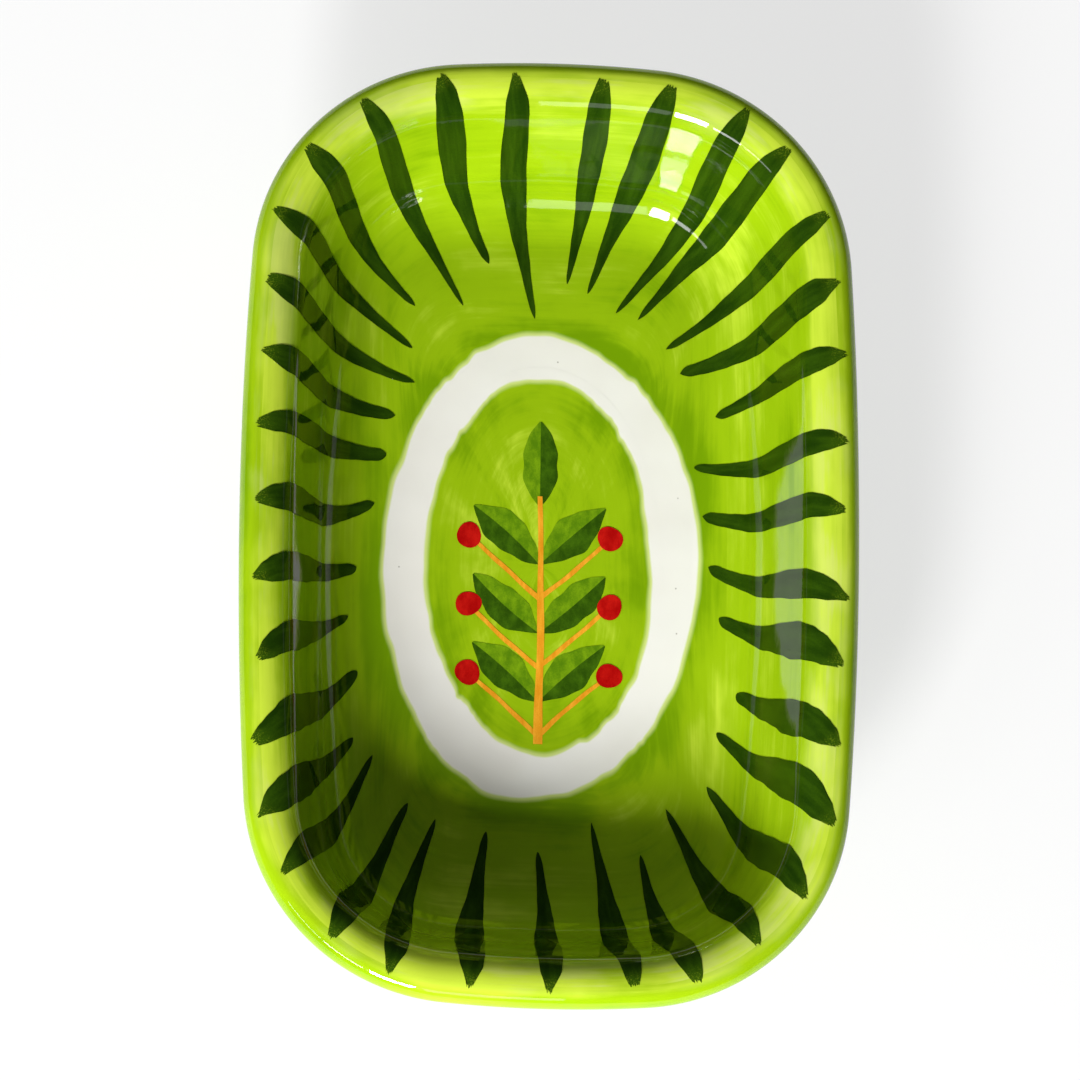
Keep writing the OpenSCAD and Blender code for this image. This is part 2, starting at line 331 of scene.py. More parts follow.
# %% White glazed inside
LIFTS_MM = (0.45, 0.51, 0.56, 0.58, 0.6)
WHITE_LIFT, WASH_LIFT, LEAF_LIFT, STEM_LIFT, TOP_LIFT = (lift * MM for lift in LIFTS_MM)
CLAY_GAP = 0.02 * MM
LAYER_GAP = 0.01 * MM
THIN_RUN = 1.5 * MM
THINNEST = 0.1
FAR = 40 * MM
MIDDLE_SHARE = 0.03
MIDDLE_ROWS, MIDDLE_POWER = 44, 1.5


def brush_marks(runs):
    """Where the brush passes: round the dish on a cylinder, and a run down the wall or the floor."""
    around = np.broadcast_to(round_trip, (*runs.shape, 2))
    return np.concatenate([around, runs[..., None]], -1)


def onto_floor(target, steps, power=1.0):
    """Rings from the end of the wall to a target ring, with their runs and gaps to the target."""
    share = np.linspace(0, 1, steps + 1)[1:, None, None] ** power
    spots = wall_spots[-1] + (target - wall_spots[-1]) * share
    runs = inset_runs[-1] + np.linalg.norm(spots - wall_spots[-1], axis=-1)
    return spots, runs, np.linalg.norm(spots - target, axis=-1)


def inside_shell(spots, runs, edge, low, high, fill=False):
    """A coat on the inside, which thins out towards its edge."""
    top, normals = lay(spots, low + (high - low) * np.clip(edge / THIN_RUN, THINNEST, 1))
    under, _ = lay(spots, low)
    return shell(top, under, normals, brush_marks(runs), edge, wrap=True, fill=fill)


mid_spots, mid_runs, _ = onto_floor(wall_spots[-1] * MIDDLE_SHARE, MIDDLE_ROWS, MIDDLE_POWER)
white_spots = np.concatenate([wall_spots, mid_spots])
inside_white = piece("white_glazed_inside", [inside_shell(
    white_spots, np.concatenate([wall_runs, mid_runs]), np.full(white_spots.shape[:2], FAR),
    CLAY_GAP, WHITE_LIFT, fill=True)], "inside_glaze")

# %% [markdown]
# ## The lime wash and the white band
# The painter washed the inside with a wide brush and left an oval band white. Its border is a hand-drawn
# oval, so a few slow waves are added to an ellipse. The wash runs from the crest of the lip to the outer
# border of the band, and a second patch fills the oval inside it. Both reach a little way over the white,
# because their edges fade out by colour.

# %% Wash round the white band, and inside it
BAND_W, BAND_L, BAND = 56 * MM, 86 * MM, 8 * MM
FRINGE = 2.2 * MM
OVAL_WAVES = ((0.014, 2, 1), (0.012, 3, 2), (0.006, 5, -1))
OUTER_PHASE, INNER_PHASE = 0.8, 2.1
FLOOR_ROWS, OVAL_ROWS = 34, 30


def uneven(turns, phase, waves):
    """1 with waves on it; each has a height, a count to the turn and a share of the phase."""
    return sum((height * np.sin(count * turns + share * phase) for height, count, share in waves), 1.0)


def oval(margin, turns, phase):
    """A hand-drawn oval: an ellipse, drawn in by a margin, with slow waves along it."""
    half = np.array([BAND_W / 2, BAND_L / 2]) - margin
    return half * heading(turns) * uneven(turns, phase, OVAL_WAVES)[..., None]


band_turns = np.arctan2(wall_spots[-1][:, 1] / BAND_L, wall_spots[-1][:, 0] / BAND_W)
outer_ring = oval(FRINGE, band_turns, OUTER_PHASE)
floor_spots, floor_runs, floor_edge = onto_floor(outer_ring, FLOOR_ROWS)
ground = piece("brushed_ground", [inside_shell(
    np.concatenate([wall_spots, floor_spots]), np.concatenate([wall_runs, floor_runs]),
    np.concatenate([np.full(wall_runs.shape, FAR), floor_edge]), WHITE_LIFT + LAYER_GAP, WASH_LIFT)],
    "ground_wash")

oval_ring = oval(BAND - FRINGE, band_turns, INNER_PHASE)
oval_spots = oval_ring * np.linspace(1, MIDDLE_SHARE, OVAL_ROWS)[:, None, None]
oval_edge = np.linalg.norm(oval_ring - oval_spots, axis=-1)
oval_ground = piece("brushed_oval", [inside_shell(
    oval_spots, FAR + oval_edge, oval_edge, WHITE_LIFT + LAYER_GAP, WASH_LIFT, fill=True)],
    "oval_wash")

# %% [markdown]
# ## The border strokes
# A loaded round brush was set down on the crest of the lip and drawn in over the wall: the stroke starts
# in a dry, ragged point, swells, and thins out into a tail that stops short of the white band. A texture
# could paint it, but here each one is a small grid bent on the wall, so that it stays a thin layer of its
# own. The strokes are aimed a little past the middle of the dish, and seeded draws make no two the same.

# %% The way of a stroke
STROKES = 35
SIDE_REACH, END_REACH = 23.5 * MM, 32.5 * MM
TAIL_CLEARANCE = 2.5 * MM
STROKE_AIM = 16 * MM
AIM_SHARES = np.array([0.15, 0.25])
ALONG, ACROSS, FINE = 64, 15, 240
EVEN_SHARE = 0.6
w = np.linspace(-1, 1, ACROSS)[None, :]
even = np.linspace(0, 1, ALONG)
run_share = EVEN_SHARE * even + (1 - EVEN_SHARE) * (0.5 - 0.5 * np.cos(math.pi * even))


def along_surface(start, way, reach):
    """Shares of a reach in plan, spaced evenly along the bent face and closer at both ends."""
    fine = np.linspace(0, 1, FINE)
    points, _ = lay(start + fine[:, None] * reach * way, 0)
    run = np.concatenate([[0], np.cumsum(np.linalg.norm(np.diff(points, axis=0), axis=-1))])
    return np.interp(run_share * run[-1], run, fine)[:, None]


def reach_to_band(start, way):
    """Distance from a start, along a way in, to the clearance round the white band."""
    half = np.array([BAND_W, BAND_L]) / 2 + TAIL_CLEARANCE
    p, v = start / half, way / half
    room = (p @ v) ** 2 - (v @ v) * (p @ p - 1)
    return (-(p @ v) - math.sqrt(room)) / (v @ v) if room > 0 else HALF_L


side_start = np.array([HALF_W, STROKE_AIM])
print("a level stroke has", round(reach_to_band(side_start, np.array([-1.0, 0.0])) / MM, 1), "mm of room")

# %% The outline of a stroke
STROKE_W = 5.2 * MM
width_places = [0, 0.03, 0.08, 0.16, 0.28, 0.40, 0.52, 0.66, 0.80, 0.92, 1.0]
width_shares = [0.40, 0.56, 0.72, 0.88, 1.0, 0.96, 0.82, 0.64, 0.52, 0.45, 0.38]
EDGE_WAVES = ((0.07, 8, 1.2), (0.035, 21, 2), (0.02, 52, 3))
TAIL, TAIL_END = 0.93, 1.002
POINTED, POINT_NARROWS = 0.10, 0.55
DRY_END, DRY_POWER, POINT_LEADS = 0.12, 1.5, 0.6


def stroke_width(t, place, thin, blunt, point):
    """Width along a stroke, as a share: a pointed start, a swelling body and a tail."""
    swell = np.interp(t + 0.5 * place * t * (1 - t), width_places, width_shares)
    swell = swell * (1 + (thin - 1) * t**2)
    swell = swell * (1 - np.clip((t - TAIL) / (TAIL_END - TAIL), 0, 1) ** 2) ** blunt
    return swell * np.interp(t, [0, POINTED], [1 - POINT_NARROWS * point / MM, 1])


def edge_roughness(t, phases):
    """Small waves along a stroke's edges."""
    waves = zip(EDGE_WAVES, phases)
    return sum(height * np.sin(count * t + phase + skew * w) for (height, count, skew), phase in waves)


print("a stroke is widest", width_places[width_shares.index(1.0)], "of the way along")

# %% Border strokes
FIRST_PLACE, PLACE_SHIFT = 0.27, 0.14
START_IN_MM, BRISTLES_MM = (2.6, 3.8), (-0.45, 0.3)
LENGTHS, WIDTHS = (0.84, 1.16), (0.88, 1.1)
BEND_TAIL_POINT_MM = ([-1.1, -1.1, 0.2], [1.1, 1.1, 0.9])
PLACE_THIN_BLUNT = ([-0.3, 0.55, 0.5], [0.3, 1.15, 1.0])
END_ZONE, END_POWER, END_THIN = 0.8, 3, 0.5
draw = np.random.default_rng(21)
stroke_shells = []
for i in range(STROKES):
    share = (i + FIRST_PLACE + draw.uniform(-PLACE_SHIFT, PLACE_SHIFT)) / STROKES
    at, out = (v[0] for v in plan(np.array([share])))
    start = at - out * draw.uniform(*START_IN_MM) * MM
    way = start * AIM_SHARES + np.array([0, STROKE_AIM]) - start
    way = way / np.linalg.norm(way)
    across = np.array([-way[1], way[0]])
    end_share = min(1.0, (abs(start[1]) / (END_ZONE * HALF_L)) ** END_POWER)
    reach = (SIDE_REACH + (END_REACH - SIDE_REACH) * end_share) * draw.uniform(*LENGTHS)
    reach = min(reach, reach_to_band(start, way))
    half = STROKE_W / 2 * draw.uniform(*WIDTHS)
    bend, tail, point = draw.uniform(*BEND_TAIL_POINT_MM) * MM
    phases = draw.uniform(0, 2 * math.pi, len(EDGE_WAVES))
    place, thin, blunt = draw.uniform(*PLACE_THIN_BLUNT)
    bristles = draw.uniform(*BRISTLES_MM, ACROSS) * MM
    t = along_surface(start, way, reach)
    swell = stroke_width(t, place, thin * (1 - END_THIN * end_share), blunt, point)
    ragged = bristles - POINT_LEADS * point * (1 - w**2)
    along = reach * t + np.clip(1 - t / DRY_END, 0, 1) ** DRY_POWER * ragged
    middle = bend * np.sin(math.pi * t) + tail * t**2
    side = middle + w * half * swell * (1 + edge_roughness(t, phases))
    spots = start + along[..., None] * way + side[..., None] * across
    top, normals = lay(spots, TOP_LIFT)
    under, _ = lay(spots, WASH_LIFT + LAYER_GAP)
    marks = np.stack([along, side, np.full_like(along, i * FAR)], -1)
    stroke_shells.append(shell(top, under, normals, marks, reach * t + 0 * w, wrap=False))
strokes = piece("border_brushwork", stroke_shells, "border_strokes")

# %% [markdown]
# ## The sprig in the oval
# A sprig of leaves and berries fills the oval. It is built from three simple patches: half a leaf,
# which tapers at both ends, a round berry, and a strip for the stem and its stalks. Each leaf has a
# light and a dark half, as a painter does it with two strokes.

# %% Patches of the sprig
SPRIG_R = 35 * MM
LEAF_L, LEAF_W, LEAF_PITCH = (SPRIG_R * share for share in (0.46, 0.19, 0.36))
STEM_RISE, STEM_L, STEM_W = (SPRIG_R * share for share in (0.37, 1.3, 0.046))
TIP_OVERLAP, STALK_L, STALK_W, BERRY_D = (SPRIG_R * share for share in (0.06, 0.486, 0.026, 0.13))
LEAF_WAVES = ((0.08, 9, 1), (0.04, 23, -1))
BERRY_WAVES = ((0.05, 2, 1), (0.03, 3, -1))
STRIP_WAVE, STRIP_WAVES = 0.12, 14
RIB_SWAY, STRIP_SWAY = 0.5 * MM, 0.35 * MM
LEAF_START, LEAF_STOP, BERRY_CORE = 0.015, 0.985, 0.15
LEAF_ROWS, LEAF_COLS = 24, 7
STRIP_ROWS, STRIP_COLS = 30, 5
BERRY_ROWS, BERRY_COLS = 6, 40


def patch(spots, high, seed, wrap=False, fill=False):
    """A patch of colour on the floor, marked with its own place for the brush."""
    top, normals = lay(spots, high)
    under, _ = lay(spots, WASH_LIFT + LAYER_GAP)
    marks = np.concatenate([spots, np.full((*spots.shape[:2], 1), seed * FAR)], -1)
    return shell(top, under, normals, marks, np.full(spots.shape[:2], FAR), wrap, fill)


def turned(spots, root, spread):
    """Points drawn along +Y, turned clockwise by spread and set on a root."""
    c, s = math.cos(spread), math.sin(spread)
    x, y = spots[..., 0], spots[..., 1]
    return np.stack([c * x + s * y, c * y - s * x], -1) + root


def half_leaf(hand, wave):
    """Half a leaf along +Y, on the side that hand gives; the wave makes each one different."""
    along = np.linspace(LEAF_START, LEAF_STOP, LEAF_ROWS)[:, None]
    across = np.linspace(0, 1, LEAF_COLS)[None, :]
    width = LEAF_W * 2 * along * (1 - along) * uneven(along, wave, LEAF_WAVES)
    rib = RIB_SWAY * np.sin(math.pi * along) * math.sin(wave)
    return np.stack([rib + hand * across * width, LEAF_L * along + 0 * across], -1)


def strip(length, width, tip, wave):
    """A strip along +Y, which narrows to a tip share of its width."""
    along = np.linspace(0, 1, STRIP_ROWS)[:, None]
    across = np.linspace(-1, 1, STRIP_COLS)[None, :]
    half = width / 2 * (1 + (tip - 1) * along)
    half = half * (1 + STRIP_WAVE * np.sin(STRIP_WAVES * along + wave + across))
    sway = STRIP_SWAY * np.sin(math.pi * along) * math.sin(2 * wave)
    return np.stack([sway + across * half, length * along + 0 * across], -1)


def berry(wave):
    """A round berry at the end of a stalk along +Y."""
    turns = np.linspace(0, 2 * math.pi, BERRY_COLS, endpoint=False)[None, :]
    reach = BERRY_D / 2 * uneven(turns, wave, BERRY_WAVES)
    ring = np.linspace(1, BERRY_CORE, BERRY_ROWS)[:, None]
    return np.stack([ring * reach * np.cos(turns), ring * reach * np.sin(turns) + STALK_L], -1)


print("a leaf is", round(LEAF_L / MM, 1), "mm long and a berry", round(BERRY_D / MM, 1), "mm wide")

# %% Pieces of the sprig
LEAF_SPREAD = math.radians(48)
LEAF_PAIRS = 3
STEM_TIP, STALK_TIP = 0.5, 0.8
LEAF_PHASE, STEM_PHASE, STALK_PHASE, BERRY_PHASE = 1.7, 0.6, 1.1, 1.3
STEM_SEED, STALK_SEED, BERRY_SEED = 20, 21, 40
roots = [(np.array([0, STEM_RISE - TIP_OVERLAP]), 0.0)]
stalks = []
for pair in range(1, LEAF_PAIRS + 1):
    for side in (-1, 1):
        roots.append((np.array([0, STEM_RISE - pair * LEAF_PITCH]), side * LEAF_SPREAD))
        stalks.append((np.array([0, STEM_RISE - (pair + 0.5) * LEAF_PITCH]), side * LEAF_SPREAD))
print("the sprig has", len(roots), "leaves and", len(stalks), "berries")


def leaf_halves(hand, seed):
    """The light halves of all leaves for a hand of 1, and the dark ones for -1."""
    halves = []
    for k, (root, spread) in enumerate(roots):
        light = 1 if spread < 0 else -1
        spots = turned(half_leaf(hand * light, LEAF_PHASE * k), root, spread)
        halves.append(patch(spots, LEAF_LIFT, k + seed))
    return halves


leaf_light = piece("leaf_light_halves", leaf_halves(1, 0), "leaf_paint")
leaf_dark = piece("leaf_dark_halves", leaf_halves(-1, 0.5), "leaf_shade_paint")
stem_spots = strip(STEM_L, STEM_W, STEM_TIP, STEM_PHASE) + np.array([0, STEM_RISE - STEM_L])
stem = piece("stem_and_stalks", [patch(stem_spots, STEM_LIFT, STEM_SEED)] + [
    patch(turned(strip(STALK_L, STALK_W, STALK_TIP, STALK_PHASE * k), root, spread),
          STEM_LIFT - LAYER_GAP, STALK_SEED + k)
    for k, (root, spread) in enumerate(stalks)], "stem_paint")
berries = piece("berries", [
    patch(turned(berry(BERRY_PHASE * k), root, spread), TOP_LIFT, BERRY_SEED + k, wrap=True, fill=True)
    for k, (root, spread) in enumerate(stalks)], "berry_paint")

# %% [markdown]
# ## The outside
# The outside coats run from the crest of the lip over its edge, through the hollow under it and down
# the wall, and stop short of the foot. A profile spun round with a Screw modifier would only suit a
# round dish, so the section is moved along the plan ring by ring.

# %% Section of the outside
FOOT_INSET, FOOT_W, FOOT_BEVEL, BARE_BAND = 25 * MM, 4 * MM, 0.6 * MM, 1.5 * MM
OVER_ROWS, EDGE_ROWS, HOLLOW_ROWS, OUTER_ROWS, BASE_ROWS = 6, 25, 12, 10, 22
bare_turn = 2 * math.pi - math.acos((FOOT_INSET - BARE_BAND - outer_c[0]) / BASE_R)


def outside_face(start):
    """Points (inward, up) and normals of the clay's outside section, from a turn on the lip."""
    over = np.linspace(start, LIP_TURN, OVER_ROWS)[:-1]
    edge = np.linspace(LIP_TURN, LIP_TURN + math.pi, EDGE_ROWS)
    hollow = np.linspace(LIP_TURN, WALL_LEAN, HOLLOW_ROWS)[1:]
    base = np.linspace(math.pi + WALL_LEAN, bare_turn, BASE_ROWS)
    points = [lip_c + lip_r * heading(over), edge_c + edge_r * heading(edge),
              lip_c + LIP_HOLLOW_R * heading(hollow)]
    wall_end = outer_c + BASE_R * heading(base)
    steps = np.linspace(0, 1, OUTER_ROWS)[1:-1, None]
    points += [points[-1][-1] + (wall_end[0] - points[-1][-1]) * steps, wall_end]
    normals = [heading(over), heading(edge), -heading(hollow),
               np.repeat(heading(base[:1]), len(steps), 0), heading(base)]
    return np.concatenate(points), np.concatenate(normals)


def rings(section):
    """The rings that a section's points make round the plan."""
    plane = rim_at - section[:, 0, None, None] * rim_out
    height = np.broadcast_to(section[:, 1, None, None], (*plane.shape[:2], 1))
    return np.concatenate([plane, height], -1)


print("the outside section has", len(outside_face(CREST_TURN)[0]), "points")

# %% Coats of the outside
OVERLAP_TURN = math.radians(89)
OVERLAP_THIN = 0.45


def outside_shell(low, high, start, thin):
    """A coat of the outside; it starts with a thin share of its thickness and swells to the whole."""
    face, slopes = outside_face(start)
    runs = np.concatenate([[0], np.cumsum(np.linalg.norm(np.diff(face, axis=0), axis=-1))])
    full = thin + (1 - thin) * np.clip(runs / THIN_RUN, 0, 1)
    top = face + (low + (high - low) * full)[:, None] * slopes
    rise = np.broadcast_to(slopes[:, 1, None, None], (len(slopes), COLUMNS, 1))
    normals = np.concatenate([-slopes[:, 0, None, None] * rim_out, rise], -1)
    runs = np.broadcast_to(runs[:, None], (len(face), COLUMNS))
    return shell(by_hand(rings(top)), by_hand(rings(face + low * slopes)), normals, brush_marks(-runs),
                 runs[-1:] - runs, wrap=True)


outside_white = piece("white_glazed_outside", [
    outside_shell(CLAY_GAP, WHITE_LIFT, CREST_TURN, 1.0)], "outside_glaze")
outside_ground = piece("brushed_outside", [
    outside_shell(WHITE_LIFT + LAYER_GAP, STEM_LIFT, OVERLAP_TURN, OVERLAP_THIN)],
    "outside_wash")

# %% [markdown]
# ## The clay body and the base
# Under the coats is the clay itself. It shows only where it was left bare: on the foot ring and beside
# it. One closed run of the section, from the middle of the floor over the rim to the middle of the
# base, makes the whole body. The recess inside the foot has a glaze coat of its own.

# %% Section of the foot
BARE_ROWS = 5
foot_turn = 2 * math.pi - math.acos((FOOT_INSET - outer_c[0]) / BASE_R)
foot_end = FOOT_INSET + FOOT_W
nick = 0.3 * FOOT_BEVEL
fillet = 0.5 * FOOT_BEVEL
bare_rows = outer_c + BASE_R * heading(np.linspace(bare_turn, foot_turn, BARE_ROWS)[1:])
foot_rows = np.array([
    [FOOT_INSET, FOOT_BEVEL],
    [FOOT_INSET + nick, nick],
    [FOOT_INSET + FOOT_BEVEL, 0],
    [foot_end - FOOT_BEVEL, 0],
    [foot_end - nick, nick],
    [foot_end, FOOT_BEVEL],
    [foot_end, FOOT_H - fillet],
    [foot_end + fillet, FOOT_H]])
print("the foot ring is", (FOOT_W / MM), "mm wide, and", (FOOT_H / MM), "mm high inside")

# %% Clay body
SHARP_ANGLE = math.radians(50)
to_middle = np.array([MIDDLE_SHARE, MIDDLE_SHARE, 1])
inside_section = np.stack([insets, inside_face(insets)[0]], -1)[::-1]
body_rings = rings(np.concatenate([inside_section, outside_face(CREST_TURN)[0][1:], bare_rows, foot_rows]))
body_points = by_hand(np.concatenate([body_rings[:1] * to_middle, body_rings, body_rings[-1:] * to_middle]))
body_index = grid_index(len(body_points), COLUMNS, wrap=True)
body_faces = grid_quads(body_index).tolist()
body_faces += [body_index[0, :-1][::-1].tolist(), body_index[-1, :-1].tolist()]
clay_mesh = bpy.data.meshes.new("clay_dish")
clay_mesh.from_pydata(body_points.reshape(-1, 3).tolist(), [], [face[::-1] for face in body_faces])
clay_mesh.polygons.foreach_set("use_smooth", [True] * len(clay_mesh.polygons))
clay_mesh.set_sharp_from_angle(angle=SHARP_ANGLE)
clay = stand_in("clay_dish", clay_mesh, "clay_body")

# %% Glaze in the recess of the base
POOL_INSETS_MM = np.array([0, 0.15, 0.5, 1.2])
POOL_DEPTHS_MM = np.array([0.06, 0.22, 0.34, 0.4])
POOL_LEANS = np.array([0.8, 0.45, 0.15])
POOL_ROWS = 14
recess = foot_end + BARE_BAND
pool_rings = rings(np.stack([recess + POOL_INSETS_MM * MM, FOOT_H - POOL_DEPTHS_MM * MM], -1))
flat_share = np.linspace(1, MIDDLE_SHARE, POOL_ROWS)[1:, None, None]
flat_shares = np.concatenate([flat_share, flat_share, np.ones_like(flat_share)], -1)
pool_rings = np.concatenate([pool_rings, pool_rings[-1:] * flat_shares])
pool_under = pool_rings.copy()
pool_under[..., 2] = FOOT_H - LAYER_GAP
pool_normals = np.zeros_like(pool_rings)
pool_normals[..., 2] = -1
leaning = len(POOL_LEANS)
pool_normals[:leaning, :, :2] = POOL_LEANS[:, None, None] * rim_out
pool_normals[:leaning, :, 2] = -np.sqrt(1 - POOL_LEANS**2)[:, None]
pool_runs = np.linalg.norm(pool_rings - pool_rings[:1], axis=-1)
base_white = piece("glazed_base", [shell(
    by_hand(pool_rings), by_hand(pool_under), pool_normals, brush_marks(pool_runs), pool_runs,
    wrap=True, fill=True)], "base_glaze")

# %% [markdown]
# ## Writing a finish
# A finish is a small network of nodes. Placing each node by hand hides the idea, so one class wraps a
# socket: sums and products on it become Math nodes. Every other node comes from one method that takes
# its type, its settings and its inputs.

# %% Signals
class Signal:
    """A value that changes over a surface; an expression on it adds Math nodes."""

    def __init__(self, finish, node, output):
        self.finish, self.node = finish, node
        self.socket = node.outputs[output]

    def out(self, output):
        return Signal(self.finish, self.node, output)

    def math(self, operation, first, second):
        return self.finish.add("ShaderNodeMath", {"operation": operation}, {0: first, 1: second})

    def __add__(self, other):
        return self.math("ADD", self, other)

    def __sub__(self, other):
        return self.math("SUBTRACT", self, other)

    def __rsub__(self, other):
        return self.math("SUBTRACT", other, self)

    def __mul__(self, other):
        return self.math("MULTIPLY", self, other)

    __radd__ = __add__
    __rmul__ = __mul__

    def step(self, low, high):
        """0 below low, 1 above high, and a soft way between them."""
        return self.finish.add("ShaderNodeMapRange", {"interpolation_type": "SMOOTHSTEP"},
                               {"Value": self, "From Min": low, "From Max": high})


# %% Finishes
class Finish:
    """A node material, written as sums of signals."""

    def __init__(self, name):
        self.material = bpy.data.materials.new(name)
        self.material.use_nodes = True
        self.tree = self.material.node_tree
        self.tree.nodes.clear()

    def add(self, kind, settings, inputs, output=0):
        """A node of this kind, as the signal of one of its outputs."""
        node = self.tree.nodes.new(kind)
        for key, value in settings.items():
            setattr(node, key, value)
        for key, value in inputs.items():
            if isinstance(value, Signal):
                self.tree.links.new(value.socket, node.inputs[key])
            else:
                node.inputs[key].default_value = value
        return None if output is None else Signal(self, node, output)

    def place(self):
        return self.add("ShaderNodeTexCoord", {}, {}, "Object")

    def edge(self):
        """The distance to the edge of the coat, or along the stroke, in millimetres."""
        return self.add("ShaderNodeAttribute", {"attribute_name": "edge"}, {}, "Fac")

    def marks(self, stretch):
        """The brush's marks in millimetres, stretched along its way."""
        brush = self.add("ShaderNodeAttribute", {"attribute_name": "brush"}, {}, "Vector")
        return self.add("ShaderNodeVectorMath", {"operation": "MULTIPLY"},
                        {0: brush, 1: stretch}, "Vector")

    def noise(self, where, scale, detail=3.0, roughness=0.5):
        return self.add("ShaderNodeTexNoise", {}, {
            "Vector": where, "Scale": scale, "Detail": detail, "Roughness": roughness}, "Fac")

    def streaks(self, stretch, detail=3.0, roughness=0.6):
        """Noise that is drawn out along the brush's way."""
        return self.noise(self.marks(stretch), 1.0, detail, roughness)

    def mix(self, factor, first, second):
        return self.add("ShaderNodeMix", {"data_type": "RGBA"}, {0: factor, 6: first, 7: second}, 2)

    def bump(self, height, depth):
        return self.add("ShaderNodeBump", {},
                        {"Height": height, "Strength": 1.0, "Distance": depth}, "Normal")

    def principled(self, *pieces, **inputs):
        """The usual shader, with its inputs' names written with underscores, put on these pieces."""
        named = {key.replace("_", " "): value for key, value in inputs.items()}
        self.put_on(self.add("ShaderNodeBsdfPrincipled", {}, named, "BSDF"), *pieces)

    def put_on(self, shader, *pieces):
        self.add("ShaderNodeOutputMaterial", {}, {"Surface": shader}, None)
        for obj in pieces:
            obj.data.materials.append(self.material)
        print(self.material.name, "has", len(self.tree.nodes), "nodes")


# %% [markdown]
# ## White glaze
# The bare white is a warm, clean white with a few tiny iron specks burnt out of the clay. A Voronoi
# pattern gives scattered points, and only the rare cells with a high random value become a speck. The
# fired glaze isn't quite even, so a soft bump bends its gloss.

# %% White finish
GLAZE_IOR = 1.48
GLAZE_ROUGH = 0.04
GLAZE_WAVE = 0.28 * MM
FINE_WAVES = 0.05
WHITE_SHADE, WHITE_LIGHT = (0.80, 0.775, 0.72, 1), (0.85, 0.835, 0.79, 1)
IRON_SPECK = (0.12, 0.09, 0.05, 1)


def glaze_waves(f):
    """The soft unevenness of a fired glaze, as a normal."""
    wide = f.noise(f.place(), scale=70.0, detail=1.0)
    fine = f.noise(f.place(), scale=420.0, detail=2.0)
    return f.bump(wide + FINE_WAVES * fine, GLAZE_WAVE)


def glazed_white(f):
    """The white of the clay under the glaze, with soft clouds in it."""
    return f.mix(f.noise(f.place(), scale=45.0).step(0.3, 0.7), WHITE_SHADE, WHITE_LIGHT)


def white_finish(name, *pieces):
    f = Finish(name)
    cells = f.add("ShaderNodeTexVoronoi", {}, {"Vector": f.place(), "Scale": 320.0}, "Distance")
    chance = f.add("ShaderNodeSeparateColor", {}, {"Color": cells.out("Color")}, "Red")
    speck = (1 - cells.step(0.02, 0.07)) * chance.step(0.80, 0.82)
    f.principled(*pieces, Base_Color=f.mix(0.6 * speck, glazed_white(f), IRON_SPECK),
                 Roughness=GLAZE_ROUGH, IOR=GLAZE_IOR, Normal=glaze_waves(f))


white_finish("white_under_clear_glaze", inside_white, outside_white, base_white)

# %% [markdown]
# ## Lime wash
# Thin underglaze colour shows every pass of the brush: long streaks that run round the dish, fine
# bristle lines and patches where it dried. It is paler at the lip, with some misses there. The noise is
# stretched along the brush's way, which each point of the mesh remembers. Round the white band the
# colour pools, and then it fades out over the fringe.

# %% Lime finish
FRINGE_MM = FRINGE / MM
PALE_LIME, LIME, DEEP_LIME = (0.54, 0.70, 0.045, 1), (0.295, 0.472, 0.004, 1), (0.17, 0.325, 0.001, 1)
MISSED_LIME, FADED_LIME = (0.62, 0.66, 0.22, 1), (0.60, 0.70, 0.22, 1)


def lime_finish(name, coat, pooled, lip_side, pale_run, misses, deeper):
    """The wash on one coat; lip_side is the sign of its run from the crest, pale_run is in millimetres."""
    f = Finish(name)
    run = lip_side * f.add("ShaderNodeSeparateXYZ", {}, {0: f.marks((1, 1, 1))}, "Z")
    streak = f.streaks((0.016, 0.016, 0.20), detail=4.0)
    bristle = f.streaks((0.035, 0.035, 1.5))
    clouds = f.streaks((0.03, 0.03, 0.06), detail=4.0, roughness=0.55)
    slow = f.streaks((0.07, 0.07, 0.08), detail=1.0, roughness=0.5)
    border = f.edge() + 1.8 * (slow - 0.5)
    pool = pooled * (1 - border.step(FRINGE_MM + 1.5, FRINGE_MM + 9.0))
    near_lip = 1 - run.step(0.3 * pale_run, pale_run)
    body = 0.5 + deeper + 0.8 * (streak - 0.5) + 0.3 * (bristle - 0.5) + 1.2 * (clouds - 0.5)
    body = body + 0.36 * pool - 0.34 * near_lip
    colour = f.mix(body.step(0.50, 0.95), f.mix(body.step(0.05, 0.5), PALE_LIME, LIME), DEEP_LIME)
    missed = f.streaks((0.04, 0.04, 0.10)) + 0.35 * (bristle - 0.5)
    colour = f.mix(misses * missed.step(0.48, 0.64) * near_lip, colour, MISSED_LIME)
    colour = f.mix(border.step(FRINGE_MM, FRINGE_MM + 1.0), FADED_LIME, colour)
    colour = f.mix(border.step(FRINGE_MM - 0.4, FRINGE_MM + 0.1), glazed_white(f), colour)
    f.principled(coat, Base_Color=colour, Roughness=GLAZE_ROUGH, IOR=GLAZE_IOR, Normal=glaze_waves(f))


lime_finish("lime_wash_inside", ground, pooled=1.0, lip_side=1.0, pale_run=7.5, misses=0.4, deeper=0.0)
lime_finish("lime_wash_oval", oval_ground, pooled=0.5, lip_side=1.0, pale_run=7.5, misses=0.4, deeper=0.0)
lime_finish("lime_wash_outside", outside_ground, pooled=0.0, lip_side=-1.0, pale_run=2.2, misses=0.2,
            deeper=0.12)

# %% [markdown]
# ## Brushed colours
# The strokes and the sprig are thicker colour, laid over the wash. It is streaky along the brush, grainy
# where the brush ran dry, and it dulls the gloss a little, so its index of refraction is lower. One
# function makes them all; only the colours, the dryness and the streaks differ.

